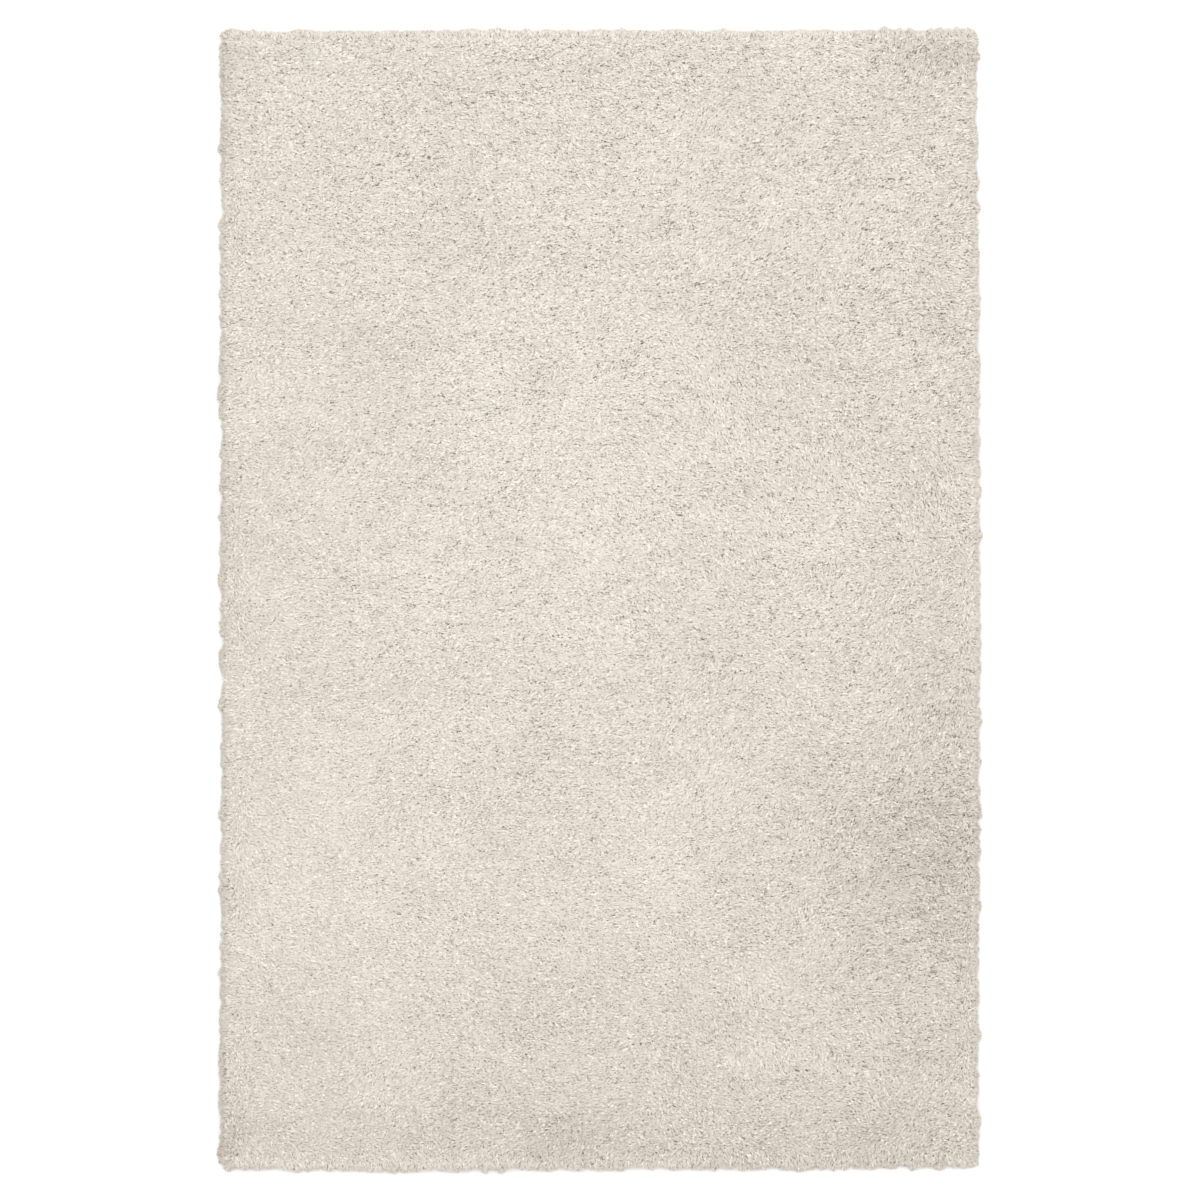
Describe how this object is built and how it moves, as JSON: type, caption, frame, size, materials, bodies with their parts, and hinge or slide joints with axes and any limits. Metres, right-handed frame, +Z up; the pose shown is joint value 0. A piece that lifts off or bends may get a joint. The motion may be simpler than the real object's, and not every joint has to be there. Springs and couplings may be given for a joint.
{
  "type": "shag rug",
  "caption": "Rectangular shag rug of soft off-white yarn, lying flat: a lumpy slab of pile with a flat underside and locks of yarn standing out along its rim.",
  "frame": {"origin": "on the floor, under the middle of the rug", "axes": "+Z up from the floor, +Y along the rug, +X across it to the right as seen from above with +Y away from the viewer"},
  "size_m": [1.6128, 2.4172, 0.0381],
  "materials": {
    "off_white_yarn": "matte, fine soft yarn, cut pile"
  },
  "bodies": {
    "root": {"shag_rug": "off_white_yarn"}
  },
  "joints": []
}
